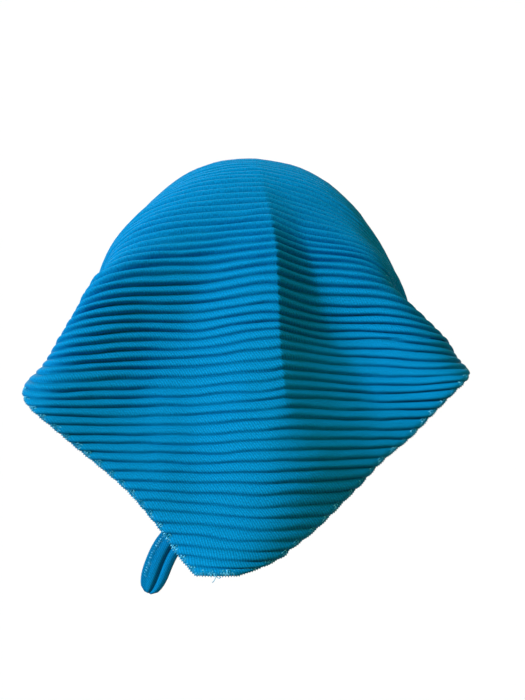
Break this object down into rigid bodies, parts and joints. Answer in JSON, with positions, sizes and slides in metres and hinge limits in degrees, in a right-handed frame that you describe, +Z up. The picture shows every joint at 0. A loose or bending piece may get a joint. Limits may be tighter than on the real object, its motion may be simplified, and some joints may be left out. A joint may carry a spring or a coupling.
{
  "type": "pleated headscarf",
  "caption": "Triangular pleated headscarf in worn form: domed crown, back flap with winged sides and a blunt point, gathered and knotted at the nape.",
  "frame": {"origin": "inside of the crown, where it rests on the top of the head", "axes": "+Y the way the wearer faces, +X the wearer's right, +Z up"},
  "size_m": [0.2413, 0.2457, 0.2138],
  "materials": {
    "cloth": "matt twill",
    "hem_thread": "matt thread"
  },
  "bodies": {
    "root": {"pleated_cloth": "cloth", "left_hem": "hem_thread", "right_hem": "hem_thread", "left_tie": "cloth", "right_tie": "cloth", "knot": "cloth", "left_tail": "cloth", "right_tail": "cloth"}
  },
  "joints": []
}
